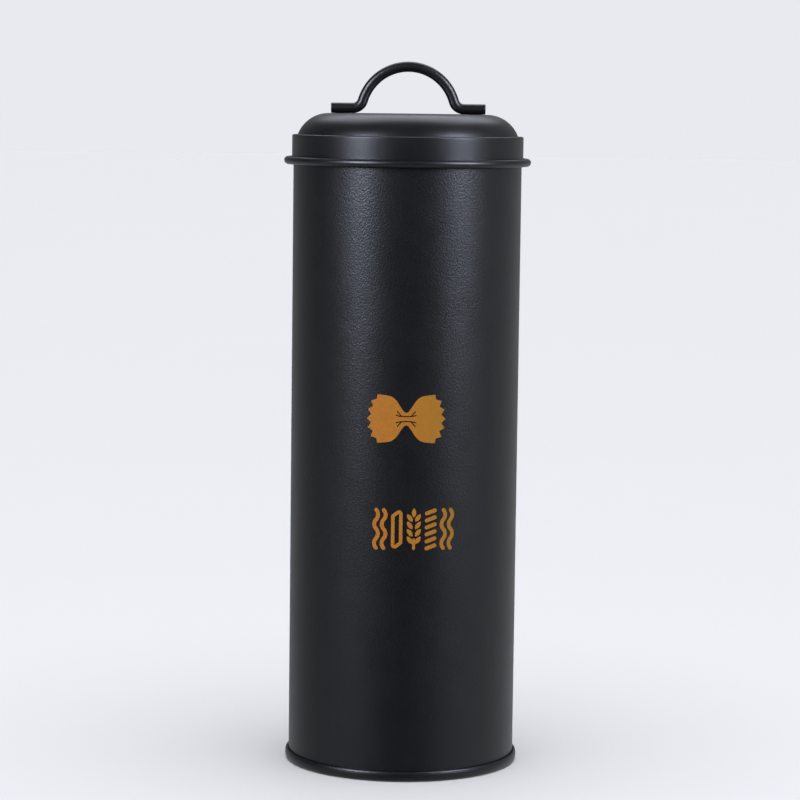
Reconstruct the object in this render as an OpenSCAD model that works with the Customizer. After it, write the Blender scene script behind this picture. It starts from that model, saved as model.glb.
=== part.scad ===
// Tall slip-lid pasta canister: rolled sheet-steel body, double-seamed base pan,
// pressed domed lid with a bent rod handle, silicone lid seal and printed marks.
// Units are millimetres. +Z is up, z = 0 is the surface it stands on, and the
// printed front faces -Y.

/* [Sheet metal] */
// Thickness of the coated steel sheet
sheet_t = 0.4; // [0.3:0.05:0.4]
// Gap left between folded layers of sheet
fold_gap = 0.05; // [0.03:0.01:0.08]

/* [Body] */
// Outer radius of the body wall
body_r = 50; // [45:1:60]
// Radius of the rolled rim, to the middle of the sheet
rim_curl_r = 1.1; // [0.8:0.1:1.5]
// Width of the lock seam down the back of the wall, inside
side_seam_w = 4.5; // [3:0.5:8]
// How far the lock seam stands in from the wall
side_seam_t = 0.4; // [0.3:0.1:0.8]

/* [Base seam] */
// How far the seam stands out from the wall, where it bulges most
seam_out = 1.5; // [1.48:0.01:1.56]
// Height of the seam
seam_h = 4.45; // [4.3:0.05:4.5]
// Height of the raised middle of the base pan
pan_z = 5; // [4.6:0.1:7]
// Radius at which the base pan steps down
pan_step_r = 38; // [25:1:42]

/* [Lid] */
// Height of the lid's flat top
lid_top_z = 286; // [240:0.5:340]
// Height from the skirt's shoulder to the flat top
dome_h = 9.4; // [7:0.1:12]
// Outer radius of the curve between the top and the dome's foot
dome_r = 14.5; // [12:0.5:20]
// Clear gap between the lid's skirt and the body
skirt_gap = 0.25; // [0.2:0.05:0.4]
// Width of the flat shoulder round the dome's foot
shoulder_w = 1.5; // [1.2:0.1:3]
// Height of the skirt, from the shoulder to the middle of its rolled bead
skirt_h = 11.25; // [8:0.25:15]
// How far the rolled bead stands out from the body wall
bead_out = 4.07; // [3.6:0.01:4.5]
// Radius of the rolled bead
bead_tube_r = 1.7; // [1.5:0.1:2]
// Thickness of the lid seal
seal_t = 1; // [0.8:0.1:1.5]

/* [Handle] */
// Diameter of the rod
rod_d = 4.5; // [3.5:0.25:6]
// Length over the ends of the two feet
handle_l = 67.6; // [62:0.2:72]
// Radius of the arch, to the middle of the rod
arch_r = 20.75; // [16:0.25:22]
// Radius of the bend between arch and foot, to the middle of the rod
foot_bend_r = 4.5; // [4:0.5:8]
// Height of the arch's top above the lid
handle_h = 22.75; // [19:0.05:26]
// Thickness of the weld under each foot at its thinnest
weld_t = 0.08; // [0.05:0.01:0.2]

/* [Print] */
// Thickness of the printed ink
ink_t = 0.1; // [0.05:0.01:0.15]
// Middle of the bow-tie along the wall from the front, and its height
bow_at = [0.8, 157.1];
// Middle of the row of marks along the wall from the front, and its height
marks_at = [4.6, 109.7];
// Width of a printed stroke
stroke_w = 2; // [1.2:0.1:2.2]

/* [Hidden] */
$fn = 96;
steel_black = [0.09, 0.09, 0.1];
silicone = [0.8, 0.8, 0.78];
ink_gold = [0.66, 0.43, 0.16];
half_t = sheet_t / 2;
wall_mid_r = body_r - half_t;

// Lid, from the top down
shoulder_z = lid_top_z - dome_h;
skirt_mid_r = body_r + skirt_gap + half_t;
shoulder_edge_r = 0.5;
dome_foot_r = 0.5;
dome_turn = acos(1 - dome_h / (dome_r - half_t + dome_foot_r));
shoulder_start_r = skirt_mid_r - shoulder_edge_r - shoulder_w;
flat_top_r = shoulder_start_r - (dome_r - half_t + dome_foot_r) * sin(dome_turn);
flare = 20;
flare_r = 1.2;
bead_mid_r = bead_tube_r - half_t;
bead_z = shoulder_z - skirt_h;
bead_start = [body_r + bead_out - bead_tube_r, bead_z] - bead_mid_r * [cos(flare), sin(flare)];
flare_l = (bead_start[0] - skirt_mid_r - flare_r * (1 - cos(flare))) / sin(flare);
skirt_end_z = bead_start[1] + flare_l * cos(flare) + flare_r * sin(flare);
skirt_l = shoulder_z - half_t - shoulder_edge_r - skirt_end_z;

// Body rim, just under the seal that sits in the lid's shoulder
seal_z = shoulder_z - sheet_t - fold_gap - seal_t;
seal_inner_r = shoulder_start_r - 0.8;
seal_edge = 0.2;
rim_z = seal_z - fold_gap;
rim_curl_z = rim_z - half_t - rim_curl_r;

// Base seam: five layers of sheet, from the inside out
pan_wall_r = wall_mid_r - sheet_t - fold_gap;
pan_outer_r = body_r + seam_out - half_t;
pan_hook_r = body_r + fold_gap + half_t;
body_hook_r = pan_hook_r + sheet_t + 0.08;
pan_turn_r = 0.35;
body_turn_r = 0.4;
hook_lift = 0.4;
body_turn_z = sheet_t + hook_lift + half_t + body_turn_r;
body_hook_z = 3.2;
pan_hook_l = 1.5;

// The seam's outer wall leans out, bulges and leans in again towards its crown
bulge_r = 5;
lean_out = 15;
lean_in = 18;
hook_turn_r = (pan_outer_r - pan_hook_r - bulge_r * (1 - cos(lean_in))) / (1 + cos(lean_in));
pan_edge_r = (seam_h - sheet_t - bulge_r * (sin(lean_out) + sin(lean_in)) - hook_turn_r * (1 - sin(lean_in)))
    / (1 - sin(lean_out));
flat_end_r = pan_outer_r - bulge_r * (1 - cos(lean_out)) - pan_edge_r * cos(lean_out);

// Base pan inside the seam
pan_corner_r = 0.8;
step_bend_r = 1;
step_turn = 40;
step_slope_l = 0.5;

// Handle
foot_z = lid_top_z + weld_t + rod_d / 2;
arch_z = lid_top_z + handle_h - rod_d / 2 - arch_r;
foot_bend_z = foot_z + foot_bend_r;
foot_bend_x = sqrt(pow(arch_r + foot_bend_r, 2) - pow(foot_bend_z - arch_z, 2));
arch_end = atan2(foot_bend_z - arch_z, foot_bend_x);
foot_l = handle_l / 2 - foot_bend_x;
rod_chamfer = 0.3;
rod_sides = 20;
weld_size = [6, 2.4, 0.5];

// ---- Outlines traced as a pen would: [length] goes straight, [radius, angle] bends left ----

function forward(h) = [cos(h), sin(h)];
function left(h) = [-sin(h), cos(h)];
function bend_steps(r, a) = ceil(abs(a) / (r < 4 ? 15 : 5));
function go(p, h, move) =
    len(move) == 1 ? [[p + move[0] * forward(h), h]]
    : let (s = sign(move[1]), c = p + s * move[0] * left(h), n = bend_steps(move[0], move[1]))
        [for (i = [1:n]) let (t = h + move[1] * i / n) [c - s * move[0] * left(t), t]];
function walk(moves, p, h, i = 0) =
    i == len(moves) ? []
    : let (leg = go(p, h, moves[i]), end = leg[len(leg) - 1])
        concat(leg, walk(moves, end[0], end[1], i + 1));
function trace(start, h, moves) = concat([[start, h]], walk(moves, start, h));
function side(path, d) = [for (q = path) q[0] + d * left(q[1])];
function backwards(list) = [for (i = [len(list) - 1:-1:0]) list[i]];
function cap(q, w, n = 6) = [for (i = [1:n - 1]) q[0] + w / 2 * left(q[1] - 180 * i / n)];
function turned(q) = [q[0], q[1] + 180];

// A strip with square ends, as sheet metal is cut
function strip(path, w) = concat(side(path, w / 2), backwards(side(path, -w / 2)));
// A pen stroke with round ends
function stroke(path, w) = concat(side(path, w / 2), cap(path[len(path) - 1], w),
    backwards(side(path, -w / 2)), cap(turned(path[0]), w));

module spun_sheet(start, h, moves) {
    rotate_extrude() polygon(strip(trace(start, h, moves), sheet_t));
}

// ---- Body ----

module body_wall() color(steel_black) {
    // Hook under the base seam, wall, and rim rolled inwards
    spun_sheet([body_hook_r, body_hook_z], -90, [
        [body_hook_z - body_turn_z],
        [body_turn_r, -90],
        [body_hook_r - wall_mid_r - 2 * body_turn_r],
        [body_turn_r, -90],
        [rim_curl_z - body_turn_z],
        [rim_curl_r, 300]
    ]);
    // Lock seam down the back, on the inside
    seam_angle = side_seam_w / body_r * 180 / PI;
    seam_foot = pan_z + sheet_t;
    seam_top = rim_curl_z - rim_curl_r - sheet_t;
    rotate([0, 0, 90 - seam_angle / 2]) rotate_extrude(angle = seam_angle)
        translate([body_r - sheet_t - side_seam_t, seam_foot])
            square([side_seam_t + half_t, seam_top - seam_foot]);
}

module base_pan() color(steel_black) {
    step_in = 2 * step_bend_r * sin(step_turn) + step_slope_l * cos(step_turn);
    step_down = 2 * step_bend_r * (1 - cos(step_turn)) + step_slope_l * sin(step_turn);
    ring_z = pan_z - half_t - step_down;
    spun_sheet([0, pan_z - half_t], 0, [
        [pan_step_r],
        [step_bend_r, -step_turn],
        [step_slope_l],
        [step_bend_r, step_turn],
        [pan_wall_r - pan_corner_r - pan_step_r - step_in],
        [pan_corner_r, -90],
        [ring_z - pan_corner_r - pan_turn_r - half_t],
        [pan_turn_r, 90],
        [flat_end_r - pan_wall_r - pan_turn_r],
        [pan_edge_r, 90 - lean_out],
        [bulge_r, lean_out + lean_in],
        [hook_turn_r, 180 - lean_in],
        [pan_hook_l]
    ]);
}

// Bead of sealing compound in the crown of the base seam
module seam_compound() color(silicone)
    rotate_extrude() translate([pan_hook_r + hook_turn_r, seam_h - half_t - hook_turn_r])
        circle(r = hook_turn_r - half_t - fold_gap);

// ---- Lid ----

module lid_cap() color(steel_black)
    spun_sheet([0, lid_top_z - half_t], 0, [
        [flat_top_r],
        [dome_r - half_t, -dome_turn],
        [dome_foot_r, dome_turn],
        [shoulder_w],
        [shoulder_edge_r, -90],
        [skirt_l],
        [flare_r, flare],
        [flare_l],
        [bead_mid_r, 280]
    ]);

module lid_seal() color(silicone) {
    a = seal_inner_r;
    b = skirt_mid_r - half_t - skirt_gap;
    e = seal_edge;
    rotate_extrude() translate([0, seal_z]) polygon([
        [a + e, 0], [b - e, 0], [b, e], [b, seal_t - e],
        [b - e, seal_t], [a + e, seal_t], [a, seal_t - e], [a, e]
    ]);
}

// ---- Handle ----

function ring(q, r) = let (across = left(q[1])) [for (j = [0:rod_sides - 1]) let (a = 360 * j / rod_sides)
    [q[0][0] + r * cos(a) * across[0], r * sin(a), q[0][1] + r * cos(a) * across[1]]];

// A round rod bent along a path in the XZ plane, with its two ends chamfered
module bent_rod(path) {
    last = len(path) - 1;
    rings = [for (i = [0:last]) ring(path[i], rod_d / 2 - (i == 0 || i == last ? rod_chamfer : 0))];
    corners = [for (r = rings) each r];
    sides = [for (i = [0:last - 1], j = [0:rod_sides - 1]) let (
            k = (j + 1) % rod_sides, a = i * rod_sides, b = a + rod_sides)
        each [[a + j, a + k, b + j], [a + k, b + k, b + j]]];
    start_face = [for (j = [rod_sides - 1:-1:0]) j];
    end_face = [for (j = [0:rod_sides - 1]) last * rod_sides + j];
    polyhedron(corners, concat(sides, [start_face, end_face]));
}

module handle_bar() color(steel_black)
    bent_rod(trace([-handle_l / 2, foot_z], 0, [
        [rod_chamfer],
        [foot_l - rod_chamfer],
        [foot_bend_r, 90 - arch_end],
        [arch_r, 2 * arch_end - 180],
        [foot_bend_r, 90 - arch_end],
        [foot_l - rod_chamfer],
        [rod_chamfer]
    ]));

// Weld metal between the lid and one foot, hollowed on top by the rod
module weld(x) color(steel_black) difference() {
    translate([x - weld_size[0] / 2, -weld_size[1] / 2, lid_top_z]) cube(weld_size);
    translate([x - weld_size[0], 0, foot_z]) rotate([0, 90, 0]) cylinder(h = 2 * weld_size[0], d = rod_d);
}

module handle_weld_left() weld(-foot_bend_x - foot_l / 2);
module handle_weld_right() weld(foot_bend_x + foot_l / 2);

// ---- Print ----

// Where a point of the flat artwork lands, seen from the front, once it is on the round wall
function on_wall(p) = [body_r * sin(p[0] / body_r * 180 / PI), p[1]];
function placed(outline, at) = [for (p = outline) on_wall(p + at)];
function mirrored(list) = [for (p = list) [-p[0], p[1]]];
function upside_down(list) = [for (p = list) [p[0], -p[1]]];

// A skin of ink on the front of the wall, in a band wide enough for the artwork
ink_band = 28;
module ink(at) color(ink_gold) intersection() {
    translate([0, 0, at[1] - ink_band / 2]) difference() {
        cylinder(h = ink_band, r = body_r + ink_t);
        translate([0, 0, -1]) cylinder(h = ink_band + 2, r = body_r);
    }
    rotate([90, 0, 0]) linear_extrude(height = body_r + 1) children();
}

// Bow-tie: two fluted fans that meet in a pinched waist
bow_tip = [12.4, 10.4];
bow_waist = 2.6;
bow_bulge = 16.2;
bow_teeth = 6;
bow_tooth = 0.9;
bow_steps = 14;
bow_steep = 0.3;
bow_drift = 0.15;
pleat_w = 0.5;
pleat_y = 1.1;
pleat_fold = [[1.6], [7, 22]];
fork_at = [2.2, 1.35];
fork_l = 2.4;
fork_angle = 48;
fan_centre = (pow(bow_bulge, 2) - pow(bow_tip[0], 2) - pow(bow_tip[1], 2)) / (2 * (bow_bulge - bow_tip[0]));
fan_r = bow_bulge - fan_centre;
fan_angle = atan2(bow_tip[1], bow_tip[0] - fan_centre);
function rise(t) = (1 - bow_drift) * (1 - exp(-pow(t / bow_steep, 2))) + bow_drift * t;
bow_edge = [for (i = [0:bow_steps]) let (t = i / bow_steps)
    [t * bow_tip[0], bow_waist + (bow_tip[1] - bow_waist) * rise(t)]];
bow_flutes = [for (i = [1:2 * bow_teeth - 1])
    let (a = fan_angle * (1 - i / bow_teeth), r = fan_r + (i % 2 == 0 ? bow_tooth : -bow_tooth))
        [fan_centre + r * cos(a), r * sin(a)]];
bow_half = concat(bow_edge, bow_flutes, upside_down(backwards(bow_edge)));
pleats = [for (m = [-1, 1], k = [-1, 1]) for (leg = [
    trace([0, m * pleat_y], 90 - 90 * k, [pleat_fold[0], [pleat_fold[1][0], m * k * pleat_fold[1][1]]]),
    trace([k * fork_at[0], m * fork_at[1]], 90 - k * (90 - m * fork_angle), [[fork_l]])
    ]) stroke(leg, pleat_w)];

module bow_tie_print() ink(bow_at) difference() {
    polygon(placed(concat(bow_half, mirrored(backwards(bow_half))), bow_at));
    for (line = pleats) polygon(placed(line, bow_at));
}

// Row of five upright marks: ribbon pasta, a quill, an ear of wheat, a spiral and ribbon pasta
marks_h = 18.4;
mark_pitch = 7.3;
thin_w = 0.85 * stroke_w;
tall = marks_h / 2 - stroke_w / 2;
ribbon_gap = 3.3;
wave_turn = 44;
wave_count = 4;
wave_r = tall / wave_count / sin(wave_turn);
wave = trace([0, -tall], 90 + wave_turn,
    [for (i = [1:wave_count]) [wave_r, i % 2 == 0 ? 2 * wave_turn : -2 * wave_turn]]);
quill_w = 3.4;
quill_slant = 36;
quill_corner = 0.8;
quill_stroke = 1.5;
spiral_turns = 6;
spiral_l = 3.8;
spiral_tilt = 20;
ear_pitch = 3.2;
grain = [4, 1.9];
grain_tilt = 36;
grain_out = 1.75;
grain_rows = 4;
grain_drop = 2.2;
ear_top = marks_h / 2 - grain[0] / 2;
stem_l = 3.8;
stem_w = 0.6 * stroke_w;

function line(centre, l, tilt) = trace(centre - l / 2 * forward(tilt), tilt, [[l]]);

// A shape pointed at both ends, bounded by two equal arcs
function leaf(centre, size, tilt) =
    let (a = 2 * atan(size[1] / size[0]), r = size[0] / 2 / sin(a), tip = size[0] / 2 * forward(tilt))
        concat(side(trace(centre - tip, tilt + a, [[r, -2 * a]]), 0),
            side(trace(centre + tip, tilt + 180 + a, [[r, -2 * a]]), 0));

module mark(x, outline) polygon(placed(outline, marks_at + [x, 0]));

module ribbons(x) for (k = [-1, 1]) mark(x + k * ribbon_gap / 2, stroke(wave, thin_w));

// A tube cut on the slant at both ends, drawn as its outline
module quill(x) {
    blunt = quill_corner * (tan(45 - quill_slant / 2) + tan(45 + quill_slant / 2));
    long = marks_h - quill_w * tan(quill_slant) - quill_stroke / cos(quill_slant);
    across = quill_w / cos(quill_slant);
    half = [[long - blunt], [quill_corner, quill_slant - 90], [across - blunt],
        [quill_corner, -quill_slant - 90]];
    start = [-quill_w / 2, -long / 2 - quill_w / 2 * tan(quill_slant)
        + quill_corner * tan(45 + quill_slant / 2)];
    path = trace(start, 90, concat(half, half));
    difference() {
        mark(x, side(path, quill_stroke / 2));
        mark(x, side(path, -quill_stroke / 2));
    }
}

module spiral(x) {
    pitch = (2 * tall - spiral_l * sin(spiral_tilt)) / (spiral_turns - 1);
    for (i = [0:spiral_turns - 1])
        mark(x, stroke(line([0, (i - (spiral_turns - 1) / 2) * pitch], spiral_l, spiral_tilt), thin_w));
}

module wheat_ear(x) {
    mark(x, leaf([0, ear_top], grain, 90));
    for (i = [0:grain_rows - 1], k = [-1, 1])
        mark(x, leaf([k * grain_out, ear_top - grain_drop - i * ear_pitch], grain, 90 - k * grain_tilt));
    mark(x, stroke(line([0, stem_l / 2 - tall], stem_l, 90), stem_w));
}

module pasta_marks_print() ink(marks_at) {
    ribbons(-2 * mark_pitch);
    quill(-mark_pitch);
    wheat_ear(0);
    spiral(mark_pitch);
    ribbons(2 * mark_pitch);
}

body_wall();
base_pan();
seam_compound();
lid_cap();
lid_seal();
handle_bar();
handle_weld_left();
handle_weld_right();
bow_tie_print();
pasta_marks_print();
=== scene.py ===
"""Looks of a tall slip-lid pasta canister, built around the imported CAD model.

Metres throughout, in the CAD's own frame: +Z up, z = 0 under the base seam, the
printed front towards -Y. Outlines are traced in millimetres and scaled once.
"""
import math

import bmesh
import bpy
from mathutils import Matrix, Vector


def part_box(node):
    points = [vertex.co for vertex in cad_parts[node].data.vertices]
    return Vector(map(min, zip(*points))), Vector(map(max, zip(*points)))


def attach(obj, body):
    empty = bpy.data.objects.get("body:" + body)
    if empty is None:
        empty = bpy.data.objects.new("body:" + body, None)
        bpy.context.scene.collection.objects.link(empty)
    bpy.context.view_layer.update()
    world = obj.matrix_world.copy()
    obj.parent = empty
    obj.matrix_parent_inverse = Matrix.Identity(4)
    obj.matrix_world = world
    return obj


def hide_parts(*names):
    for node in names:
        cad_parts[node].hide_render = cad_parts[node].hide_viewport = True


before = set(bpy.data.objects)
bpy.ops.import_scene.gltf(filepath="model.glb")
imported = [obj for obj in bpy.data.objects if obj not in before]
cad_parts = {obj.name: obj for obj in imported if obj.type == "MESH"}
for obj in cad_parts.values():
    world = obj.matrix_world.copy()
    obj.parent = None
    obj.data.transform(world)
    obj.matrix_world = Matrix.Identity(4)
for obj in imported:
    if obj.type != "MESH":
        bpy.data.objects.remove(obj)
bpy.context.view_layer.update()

MM = 0.001
SPIN_STEPS = 192        # steps round a revolved piece
ROD_SIDES = 48          # sides of the handle's round section
BEND_STEP = 5           # degrees per step round a bend of sheet
FINE_STEP = 3           # the same on the lid, the base pan and the handle, whose bends show most
COARSE_STEP = 15        # the same on the small edges of the lid seal
SHARP_ANGLE = 40        # degrees between two faces, above which the edge between them is sharp
MERGE_DIST = 1e-7       # metres within which points are merged
AXIS_R = 1e-6           # millimetres within which an outline's point is on the axis


# ---- Driving dimensions, in millimetres, under the names that the CAD gives them ----

sheet_t = 0.4
half_t = sheet_t / 2
fold_gap = 0.05
skirt_gap = 0.25
rim_curl_r = 1.1
side_seam_w = 4.5
side_seam_t = 0.4
seam_h = 4.45
pan_step_r = 38
dome_h = 9.4
dome_r = 14.5
shoulder_w = 1.5
bead_tube_r = 1.7
seal_w = 2.35
arch_r = 20.75
foot_bend_r = 4.5
weld_t = 0.08


def lowest(node, axis):
    """Lowest X, Y or Z (axis 0, 1 or 2) of a CAD node, in millimetres."""
    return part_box(node)[0][axis] / MM


def highest(node, axis):
    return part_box(node)[1][axis] / MM


body_r = highest("lid_seal", 0)
seam_r = highest("base_pan", 0)
pan_top = highest("base_pan", 2)
rim_top = highest("body_wall", 2)
bead_out_r = highest("lid_cap", 1)
bead_low = lowest("lid_cap", 2)
lid_top = highest("lid_cap", 2)
rod_r = highest("handle_bar", 1)
handle_half = highest("handle_bar", 0)
handle_top = highest("handle_bar", 2)

skirt_mid_r = body_r + skirt_gap + half_t
pan_hook_r = body_r + fold_gap + half_t
pan_outer_r = seam_r - half_t
hook_gap = 0.08         # between the wall's hook and the pan's
body_hook_r = pan_hook_r + sheet_t + hook_gap


# ---- Outlines: a pen goes straight for [length] or bends left by [radius, angle] ----

def forward(h):
    return Vector((math.cos(math.radians(h)), math.sin(math.radians(h))))


def left(h):
    return Vector((-math.sin(math.radians(h)), math.cos(math.radians(h))))


def trace(start, heading, moves, bend_step=BEND_STEP):
    """[(point, heading)] along the moves."""
    path = [(Vector(start), heading)]
    for move in moves:
        p, h = path[-1]
        if len(move) == 1:
            path.append((p + move[0] * forward(h), h))
            continue
        radius, turn = move
        sign = 1 if turn > 0 else -1
        centre = p + sign * radius * left(h)
        steps = max(2, math.ceil(abs(turn) / bend_step))
        for i in range(1, steps + 1):
            t = h + turn * i / steps
            path.append((centre - sign * radius * left(t), t))
    return path


def strip(path, width):
    """Closed outline of a strip of sheet whose middle follows the path."""
    over = [p + width / 2 * left(h) for p, h in path]
    under = [p - width / 2 * left(h) for p, h in path]
    return over + under[::-1]


# ---- Mesh helpers ----

def finish_mesh(bm, name):
    """Object of the mesh, with its normals outwards and its edges smooth or sharp."""
    bmesh.ops.remove_doubles(bm, verts=bm.verts, dist=MERGE_DIST)
    bmesh.ops.recalc_face_normals(bm, faces=bm.faces)
    mesh = bpy.data.meshes.new(name)
    bm.to_mesh(mesh)
    bm.free()
    mesh.shade_smooth()
    mesh.set_sharp_from_angle(angle=math.radians(SHARP_ANGLE))
    obj = bpy.data.objects.new(name, mesh)
    bpy.context.scene.collection.objects.link(obj)
    return obj


def even_angles():
    return [2 * math.pi * i / SPIN_STEPS for i in range(SPIN_STEPS)]


def spin(name, outline, angles=None, shape=None):
    """Solid of revolution of a closed (r, z) outline in millimetres.

    shape(r, z, angle), where given, returns the radius to use instead of r.
    """
    bm = bmesh.new()
    rings = []
    for a in angles or even_angles():
        ring = []
        for r, z in outline:
            radius = max(0, shape(r, z, a) if shape else r)
            ring.append(bm.verts.new((radius * math.cos(a) * MM, radius * math.sin(a) * MM, z * MM)))
        rings.append(ring)
    count = len(outline)
    on_axis = [r < AXIS_R for r, z in outline]
    for ring, other in zip(rings, rings[1:] + rings[:1]):
        for j in range(count):
            k = (j + 1) % count
            if not (on_axis[j] and on_axis[k]):
                bm.faces.new((ring[j], ring[k], other[k], other[j]))
    return finish_mesh(bm, name)


def sweep(name, rings):
    """Closed tube through rings of points, each ring with the same number of points."""
    bm = bmesh.new()
    made = [[bm.verts.new(p) for p in ring] for ring in rings]
    for a, b in zip(made, made[1:]):
        for j in range(len(a)):
            k = (j + 1) % len(a)
            bm.faces.new((a[j], a[k], b[k], b[j]))
    bm.faces.new(made[0])
    bm.faces.new(made[-1][::-1])
    return finish_mesh(bm, name)


# ---- Sheet-metal pieces ----

def make_lid_cap():
    """Domed top, shoulder, skirt and rolled bead, pressed from one sheet."""
    foot_r, edge_r = 0.5, 0.5
    flare, flare_r = 20, 1.2
    bead_turn = 280
    bead_mid_r = bead_tube_r - half_t
    bead_centre = Vector((bead_out_r - bead_tube_r, bead_low + bead_tube_r))
    bead_start = bead_centre - bead_mid_r * forward(flare)
    cos_f, sin_f = forward(flare)
    flare_l = (bead_start.x - skirt_mid_r - flare_r * (1 - cos_f)) / sin_f
    skirt_end = bead_start.y + flare_l * cos_f + flare_r * sin_f
    skirt_l = lid_top - dome_h - half_t - edge_r - skirt_end

    dome_mid_r = dome_r - half_t
    turn = math.degrees(math.acos(1 - dome_h / (dome_mid_r + foot_r)))
    flat_r = skirt_mid_r - edge_r - shoulder_w - (dome_mid_r + foot_r) * forward(turn).y
    moves = [[flat_r * share] for share in (0.5, 0.3, 0.2)]
    moves += [[dome_mid_r, -turn / 2], [dome_mid_r, -turn / 2], [foot_r, turn], [shoulder_w], [edge_r, -90]]
    moves += [[skirt_l / 2], [skirt_l / 2], [flare_r, flare], [flare_l], [bead_mid_r, bead_turn]]
    path = trace((0, lid_top - half_t), 0, moves, FINE_STEP)
    return spin("lid_cap_shell", strip(path, sheet_t))


def soft_step(x):
    """0 below 0 and 1 above 1, with a smooth rise between them."""
    x = min(1, max(0, x))
    return x * x * (3 - 2 * x)


# The lock seam down the back of the wall: a doubled strip inside, a fine groove outside.
# Each fades out over a ramp, from the first to the second distance along the wall.
SEAM_EASE = 0.2
SEAM_RAMP = (side_seam_w / 2 - SEAM_EASE, side_seam_w / 2 + SEAM_EASE)
GROOVE_RAMP = (0.2, 0.6)
GROOVE_DEPTH = 0.16


def fade(x, ramp):
    """1 before the ramp and 0 after it."""
    return soft_step((ramp[1] - x) / (ramp[1] - ramp[0]))


def back_angles():
    """Even angles, with closer ones across the lock seam at the back (+Y)."""
    reach, margin, steps = 3.2, 0.6, 4
    ramps = (SEAM_RAMP, GROOVE_RAMP)
    near = [low + (high - low) * i / steps for low, high in ramps for i in range(steps + 1)]
    near += [(GROOVE_RAMP[1] + SEAM_RAMP[0]) / 2, reach]
    around = [math.pi / 2 + x / body_r for x in [0] + near + [-x for x in near]]
    even = [a for a in even_angles() if abs(a - math.pi / 2) * body_r > reach + margin]
    return sorted(even + around)


def make_body_wall():
    """Wall of one rolled sheet, hooked into the base seam and curled in at the rim."""
    hook_top, hook_lift, turn_r = 3.2, 0.4, 0.4
    rim_turn, seam_fade, on_face = 300, 0.6, 0.01
    wall_r = body_r - half_t
    turn_z = sheet_t + hook_lift + half_t + turn_r
    curl_z = rim_top - half_t - rim_curl_r
    low, high = pan_top + sheet_t, curl_z - rim_curl_r - sheet_t
    half_wall = (high - low) / 2 - seam_fade
    path = trace((body_hook_r, hook_top), -90, [
        [hook_top - turn_z], [turn_r, -90], [body_hook_r - wall_r - 2 * turn_r], [turn_r, -90],
        [low - turn_z], [seam_fade], [half_wall], [half_wall], [seam_fade],
        [curl_z - high], [rim_curl_r, rim_turn]])

    def shape(r, z, a):
        """Radius with the lock seam: thicker inside, and a groove outside."""
        off = abs(a - math.pi / 2) * body_r
        along = soft_step((z - low) / seam_fade) * soft_step((high - z) / seam_fade)
        if abs(r - body_r + sheet_t) < on_face:
            return r - side_seam_t * along * fade(off, SEAM_RAMP)
        if abs(r - body_r) < on_face:
            return r - GROOVE_DEPTH * along * fade(off, GROOVE_RAMP)
        return r

    return spin("body_wall_shell", strip(path, sheet_t), back_angles(), shape)


def make_base_pan():
    """Base sheet with a stepped middle, rolled out, up and over the wall's hook in a bulging seam."""
    step_r, step_turn, slope_l = 1, 40, 0.5
    corner_r, turn_r, hook_l = 0.8, 0.35, 1.5
    bulge_r, lean_out, lean_in = 5, 15, 18
    cos_o, sin_o = forward(lean_out)
    cos_i, sin_i = forward(lean_in)
    wall_r = body_r - half_t - sheet_t - fold_gap
    hook_r = (pan_outer_r - pan_hook_r - bulge_r * (1 - cos_i)) / (1 + cos_i)
    edge_r = (seam_h - sheet_t - bulge_r * (sin_o + sin_i) - hook_r * (1 - sin_i)) / (1 - sin_o)
    flat_end_r = pan_outer_r - bulge_r * (1 - cos_o) - edge_r * cos_o
    cos_s, sin_s = forward(step_turn)
    step_in = 2 * step_r * sin_s + slope_l * cos_s
    step_down = 2 * step_r * (1 - cos_s) + slope_l * sin_s
    ring_z = pan_top - half_t - step_down
    path = trace((0, pan_top - half_t), 0, [
        [pan_step_r / 2], [pan_step_r / 2], [step_r, -step_turn], [slope_l], [step_r, step_turn],
        [wall_r - corner_r - pan_step_r - step_in], [corner_r, -90], [ring_z - corner_r - turn_r - half_t],
        [turn_r, 90], [flat_end_r - wall_r - turn_r], [edge_r, 90 - lean_out],
        [bulge_r, lean_out + lean_in], [hook_r, 180 - lean_in], [hook_l]], FINE_STEP)
    return spin("base_pan_shell", strip(path, sheet_t))


def make_lid_seal():
    """Flat ring with round edges and a fine bead moulded under the middle."""
    low, high = lowest("lid_seal", 2), highest("lid_seal", 2)
    edge, bead_r, bead_turn = 0.25, 0.3, 60
    bead_half = bead_r * 2 * math.sin(math.radians(bead_turn))
    flat = seal_w - 2 * edge
    rise = high - low - 2 * edge
    path = trace((body_r - seal_w + edge, low), 0, [
        [flat / 2 - bead_half], [bead_r, bead_turn], [bead_r, -2 * bead_turn], [bead_r, bead_turn],
        [flat / 2 - bead_half], [edge, 90], [rise], [edge, 90], [flat], [edge, 90], [rise], [edge, 90]],
        COARSE_STEP)
    return spin("lid_seal_ring", [p for p, h in path[:-1]])


# ---- Handle ----

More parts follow.
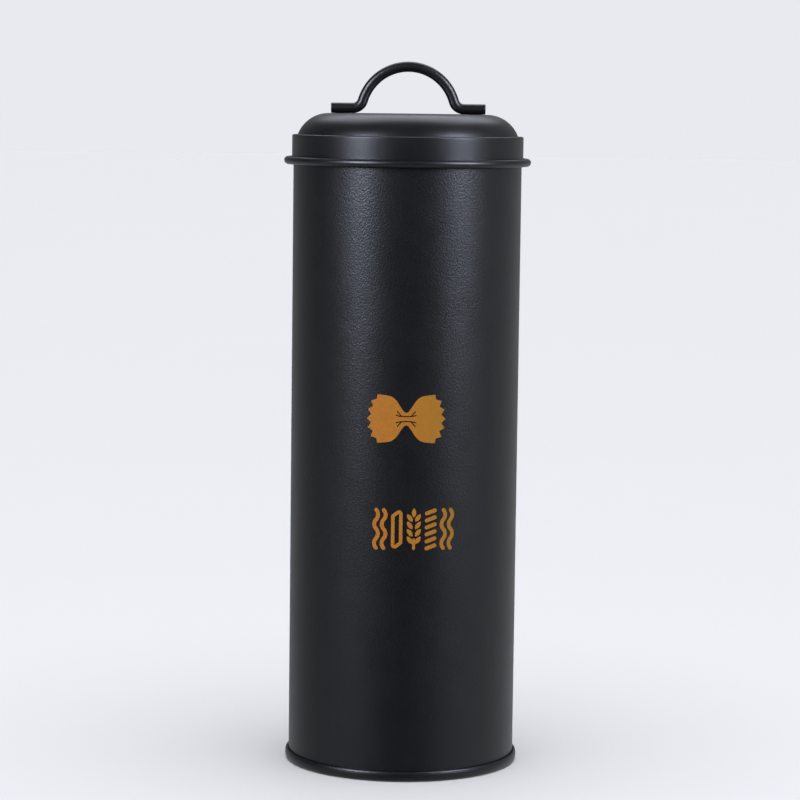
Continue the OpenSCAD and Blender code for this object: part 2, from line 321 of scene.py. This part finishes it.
def make_handle():
    """Round rod bent into an arch with two feet, its cut ends rounded over."""
    foot_z = lid_top + weld_t + rod_r
    arch_z = handle_top - rod_r - arch_r
    bend_z = foot_z + foot_bend_r
    bend_x = math.sqrt((arch_r + foot_bend_r) ** 2 - (bend_z - arch_z) ** 2)
    end = math.degrees(math.atan2(bend_z - arch_z, bend_x))
    round_r, round_steps = 0.4, 4
    foot = [handle_half - bend_x - round_r]
    ease = [[round_r / round_steps]] * round_steps
    bends = [[foot_bend_r, 90 - end], [arch_r, 2 * end - 180], [foot_bend_r, 90 - end]]
    path = trace((-handle_half, foot_z), 0, ease + [foot] + bends + [foot] + ease, FINE_STEP)

    def radius(i):
        """Full radius, less a quarter round at either end."""
        from_end = min(i, len(path) - 1 - i) / round_steps
        return rod_r - round_r * (1 - math.sqrt(1 - max(0, 1 - from_end) ** 2))

    rings = []
    for i, (p, h) in enumerate(path):
        turns = [2 * math.pi * j / ROD_SIDES for j in range(ROD_SIDES)]
        spots = [(p + radius(i) * math.cos(a) * left(h), radius(i) * math.sin(a)) for a in turns]
        rings.append([(q.x * MM, y * MM, q.y * MM) for q, y in spots])
    return sweep("handle_rod", rings)


def make_weld(name, node):
    """A low pillow of weld metal, flowing from the lid up against the rod."""
    low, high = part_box(node)
    nx, ny = 28, 16
    along_power, across_power, roundness = 3, 2.5, 0.6

    def spot(i, j, lifted):
        """Point of the grid, on the pillow's top if lifted, or on its flat underside."""
        u, v = 2 * i / nx - 1, 2 * j / ny - 1
        lift = (1 - abs(u) ** along_power) * (1 - abs(v) ** across_power) ** roundness if lifted else 0
        return (low.x + (high.x - low.x) * i / nx, low.y + (high.y - low.y) * j / ny,
                low.z + (high.z - low.z) * lift)

    bm = bmesh.new()
    top, under = ([[bm.verts.new(spot(i, j, lifted)) for j in range(ny + 1)] for i in range(nx + 1)]
                  for lifted in (True, False))
    for i in range(nx):
        for j in range(ny):
            bm.faces.new((top[i][j], top[i + 1][j], top[i + 1][j + 1], top[i][j + 1]))
            bm.faces.new((under[i][j], under[i][j + 1], under[i + 1][j + 1], under[i + 1][j]))
    return finish_mesh(bm, name)


# ---- Node trees ----

class Nodes:
    """Short forms for building the node tree of a material or of the world."""

    def __init__(self, owner, end, coordinates):
        owner.use_nodes = True
        self.owner = owner
        self.tree = owner.node_tree
        self.end = self.tree.nodes[end]
        self.where = self.add("ShaderNodeTexCoord").outputs[coordinates]

    def add(self, kind, **values):
        node = self.tree.nodes.new(kind)
        for key, value in values.items():
            if key in node.inputs:
                node.inputs[key].default_value = value
            else:
                setattr(node, key, value)
        return node

    def link(self, out, into):
        self.tree.links.new(out, into)

    def noise(self, scale, detail=2, rough=0.5):
        """Noise with about so many cells per unit of the coordinates, a metre on a piece."""
        node = self.add("ShaderNodeTexNoise", Scale=scale, Detail=detail, Roughness=rough)
        self.link(self.where, node.inputs["Vector"])
        return node.outputs["Fac"]

    def ramp(self, value, low, high, to_low, to_high):
        node = self.add("ShaderNodeMapRange")
        for i, x in enumerate((low, high, to_low, to_high)):
            node.inputs[i + 1].default_value = x
        self.link(value, node.inputs[0])
        return node.outputs[0]

    def spread(self, noise, to_low, to_high):
        """Noise spread from one value to another; nearly all of it lies between 0.3 and 0.7."""
        return self.ramp(noise, 0.3, 0.7, to_low, to_high)

    def mix(self, factor, a, b):
        node = self.add("ShaderNodeMix", data_type="RGBA")
        self.link(factor, node.inputs[0])
        node.inputs[6].default_value = (*a, 1)
        node.inputs[7].default_value = (*b, 1)
        return node.outputs[2]

    def combine(self, operation, a, b):
        node = self.add("ShaderNodeMath", operation=operation)
        self.link(a, node.inputs[0])
        self.link(b, node.inputs[1])
        return node.outputs[0]

    def bump(self, height, strength, distance, under=None):
        node = self.add("ShaderNodeBump", Strength=strength, Distance=distance)
        self.link(height, node.inputs["Height"])
        if under is not None:
            self.link(under, node.inputs["Normal"])
        return node.outputs["Normal"]

    def done(self, **inputs):
        for key, value in inputs.items():
            socket = self.end.inputs[key.replace("_", " ")]
            if isinstance(value, bpy.types.NodeSocket):
                self.link(value, socket)
            else:
                socket.default_value = value
        return self.owner


def surface(name):
    return Nodes(bpy.data.materials.new(name), "Principled BSDF", "Object")


# ---- Materials ----

def powder_coat(name, peel, roughness):
    """Satin black coat: a soft orange peel about a millimetre wide, with a finer grain on it."""
    dark, light = (0.0036, 0.0038, 0.0046), (0.0048, 0.0050, 0.0060)
    patches, fine_share = 0.02, 0.4
    n = surface(name)
    colour = n.mix(n.noise(60, detail=3), dark, light)
    rough = n.spread(n.noise(90, detail=3), roughness - patches, roughness + patches)
    soft = n.bump(n.noise(1300, detail=1.5, rough=0.45), strength=peel, distance=0.0002)
    fine = n.bump(n.noise(3400, detail=1), strength=peel * fine_share, distance=0.00005, under=soft)
    return n.done(Base_Color=colour, Roughness=rough, Normal=fine, Specular_IOR_Level=0.75)


def gold_ink():
    """Screen-printing ink, a little grainy, whose tone drifts from orange to olive gold across the print:
    painted light, lighter and more orange on the left where more light falls, darker and more olive on the
    right.
    """
    # painted light: the orange is the print's better lit left side, the olive its less lit right side
    orange, olive = (0.39, 0.142, 0.014), (0.28, 0.130, 0.008)
    left_x, right_x = -0.018, 0.022
    n = surface("gold_ink")
    split = n.add("ShaderNodeSeparateXYZ")
    n.link(n.where, split.inputs[0])
    # painted light: the colour drifts from lighter orange at the print's left, where more light falls, to
    # darker olive at its right
    across = n.ramp(split.outputs["X"], left_x, right_x, -0.15, 0.95)
    grain = n.spread(n.noise(260, detail=4, rough=0.6), -0.2, 0.2)
    colour = n.mix(n.combine("ADD", across, grain), orange, olive)
    rough = n.spread(n.noise(700), 0.42, 0.55)
    normal = n.bump(n.noise(900), strength=0.15, distance=0.0001)
    return n.done(Base_Color=colour, Roughness=rough, Normal=normal, Specular_IOR_Level=0.2)


def silicone():
    """Translucent white, matt."""
    dark, light = (0.60, 0.60, 0.58), (0.68, 0.68, 0.66)
    n = surface("silicone")
    colour = n.mix(n.noise(80), dark, light)
    normal = n.bump(n.noise(1500), strength=0.1, distance=0.0001)
    return n.done(Base_Color=colour, Roughness=0.5, Normal=normal,
                  Subsurface_Weight=0.3, Subsurface_Scale=0.002)


def compound():
    """Cured grey lining compound, matt."""
    dark, light = (0.22, 0.22, 0.21), (0.32, 0.32, 0.31)
    n = surface("sealing_compound")
    colour = n.mix(n.noise(300, detail=3), dark, light)
    normal = n.bump(n.noise(900), strength=0.2, distance=0.0001)
    return n.done(Base_Color=colour, Roughness=0.75, Normal=normal)


def pale_floor():
    dark, light = (0.825, 0.825, 0.850), (0.835, 0.835, 0.860)
    n = surface("pale_floor")
    colour = n.mix(n.noise(3), dark, light)
    return n.done(Base_Color=colour, Roughness=0.55, Specular_IOR_Level=0.2)


# ---- Pieces ----

def dress(obj, material):
    obj.data.materials.clear()
    obj.data.materials.append(material)


def add_piece(obj, body, node, material):
    dress(obj, material)
    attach(obj, body)
    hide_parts(node)


def add_pieces():
    coat = powder_coat("black_coat", peel=0.42, roughness=0.34)
    lid_coat = powder_coat("black_coat_lid", peel=0.12, roughness=0.35)
    rod_coat = powder_coat("black_coat_rod", peel=0.2, roughness=0.36)
    ink = gold_ink()
    add_piece(make_body_wall(), "canister", "body_wall", coat)
    add_piece(make_base_pan(), "canister", "base_pan", coat)
    add_piece(make_lid_cap(), "lid", "lid_cap", lid_coat)
    add_piece(make_lid_seal(), "seal", "lid_seal", silicone())
    add_piece(make_handle(), "lid", "handle_bar", rod_coat)
    for side in ("left", "right"):
        node = "handle_weld_" + side
        add_piece(make_weld("weld_" + side, node), "lid", node, rod_coat)
    for node in ("bow_tie_print", "pasta_marks_print"):
        dress(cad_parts[node], ink)
    dress(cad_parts["seam_compound"], compound())


# ---- Stage ----

MIDDLE = Vector((0, 0, 0.15))       # what the softboxes point at


def make_floor():
    """A wide disc, kept out of the highlights so that the coat mirrors only the studio."""
    bm = bmesh.new()
    bmesh.ops.create_circle(bm, cap_ends=True, segments=96, radius=14)
    floor = finish_mesh(bm, "floor")
    dress(floor, pale_floor())
    floor.visible_glossy = False
    return floor


def add_light(name, kind, energy, colour):
    light = bpy.data.lights.new(name, kind)
    light.energy = energy
    light.color = colour
    obj = bpy.data.objects.new(name, light)
    bpy.context.scene.collection.objects.link(obj)
    return obj


def softbox(name, azimuth, elevation, distance, size, radiance, lights, colour=(1, 1, 1)):
    """Area light aimed at the middle of the object, at an azimuth from the front (-Y) towards +X.

    lights is "matt" for light without highlights, or "gloss" for highlights only.
    """
    obj = add_light(name, "AREA", radiance * math.pi * size[0] * size[1], colour)
    obj.data.shape = "RECTANGLE"
    obj.data.size, obj.data.size_y = size
    obj.visible_diffuse = lights == "matt"
    obj.visible_glossy = lights == "gloss"
    a, e = math.radians(azimuth), math.radians(elevation)
    out = Vector((math.cos(e) * math.sin(a), -math.cos(e) * math.cos(a), math.sin(e)))
    obj.location = MIDDLE + distance * out
    obj.rotation_euler = out.to_track_quat("Z", "Y").to_euler()
    return obj


def keep_off(light, obj):
    """Light linking: the light shines on everything but the object."""
    group = bpy.data.collections.new(light.name + "_off")
    group.objects.link(obj)
    light.light_linking.receiver_collection = group
    group.collection_objects[0].light_linking.link_state = "EXCLUDE"


def make_sun():
    """Broad overhead light for the floor; it adds no highlights of its own."""
    obj = add_light("overhead", "SUN", energy=3.4, colour=(0.96, 0.975, 1))
    obj.data.angle = math.radians(75)
    obj.rotation_euler = (math.radians(9), math.radians(2), 0)
    obj.visible_glossy = False


def make_world():
    """Pale studio: even to the eye, but it lights the object mostly from behind and low down."""
    front_light, back_light, table_light, seen_light = 0.015, 0.25, 0.3, 0.871
    back_azimuth = 24       # degrees from +Y towards +X
    n = Nodes(bpy.data.worlds.new("studio"), "Background", "Generated")
    split = n.add("ShaderNodeSeparateXYZ")
    n.link(n.where, split.inputs[0])
    depth, height = split.outputs["Y"], split.outputs["Z"]
    towards = n.add("ShaderNodeVectorMath", operation="DOT_PRODUCT")
    n.link(n.where, towards.inputs[0])
    towards.inputs[1].default_value = (*left(-back_azimuth), 0)
    # Brighter from the sides round to the back, then below the horizon, but not straight in front
    behind = n.ramp(towards.outputs["Value"], -0.2, 1, front_light, back_light)
    low = n.ramp(height, 0.1, -0.3, 0, table_light)
    aside = n.ramp(depth, -1, -0.6, 0, 1)
    total = n.combine("ADD", behind, n.combine("MULTIPLY", low, aside))
    choose = n.add("ShaderNodeMix")
    n.link(n.add("ShaderNodeLightPath").outputs["Is Camera Ray"], choose.inputs[0])
    n.link(total, choose.inputs[2])
    choose.inputs[3].default_value = seen_light
    bpy.context.scene.world = n.done(Strength=choose.outputs[0], Color=(0.930, 0.944, 1.0, 1))


def make_camera():
    """Long lens a little above the lid's top, tipped down, with the slight roll of a hand-set tripod."""
    distance, height = 1.28405, 0.29268
    pitch, roll, yaw = 0.1029, 0.0123, -0.0016
    data = bpy.data.cameras.new("camera")
    data.sensor_width = 36
    data.lens = 131.4
    data.clip_end = 50
    obj = bpy.data.objects.new("camera", data)
    bpy.context.scene.collection.objects.link(obj)
    look = Vector((math.sin(yaw) * math.cos(pitch), math.cos(yaw) * math.cos(pitch), -math.sin(pitch)))
    level_x = Vector((math.cos(yaw), -math.sin(yaw), 0))
    level_y = level_x.cross(look)
    x = level_x * math.cos(roll) + level_y * math.sin(roll)
    y = level_y * math.cos(roll) - level_x * math.sin(roll)
    turn = Matrix((x, y, -look)).transposed().to_4x4()
    obj.matrix_world = Matrix.Translation((0, -distance, height)) @ turn
    bpy.context.scene.camera = obj


def light_studio(floor):
    """Two tall front softboxes, one above the back, a broad front fill, the sun and the world."""
    cool, pale_blue = (0.75, 0.82, 1), (0.85, 0.9, 1)
    softbox("softbox_left", azimuth=-47, elevation=25, distance=1.28, size=(0.40, 0.7), radiance=16,
            lights="gloss", colour=cool)
    softbox("softbox_right", azimuth=56, elevation=27, distance=1.28, size=(0.52, 0.8), radiance=11.3,
            lights="gloss", colour=cool)
    softbox("softbox_top", azimuth=180, elevation=57, distance=1.1, size=(1.0, 0.8), radiance=1.8,
            lights="gloss", colour=pale_blue)
    fill = softbox("front_fill", azimuth=8, elevation=18, distance=1.6, size=(1.2, 0.8), radiance=4,
                   lights="matt")
    keep_off(fill, floor)
    make_sun()
    make_world()
    bpy.context.scene.view_settings.view_transform = "Standard"


make_camera()
add_pieces()
light_studio(make_floor())
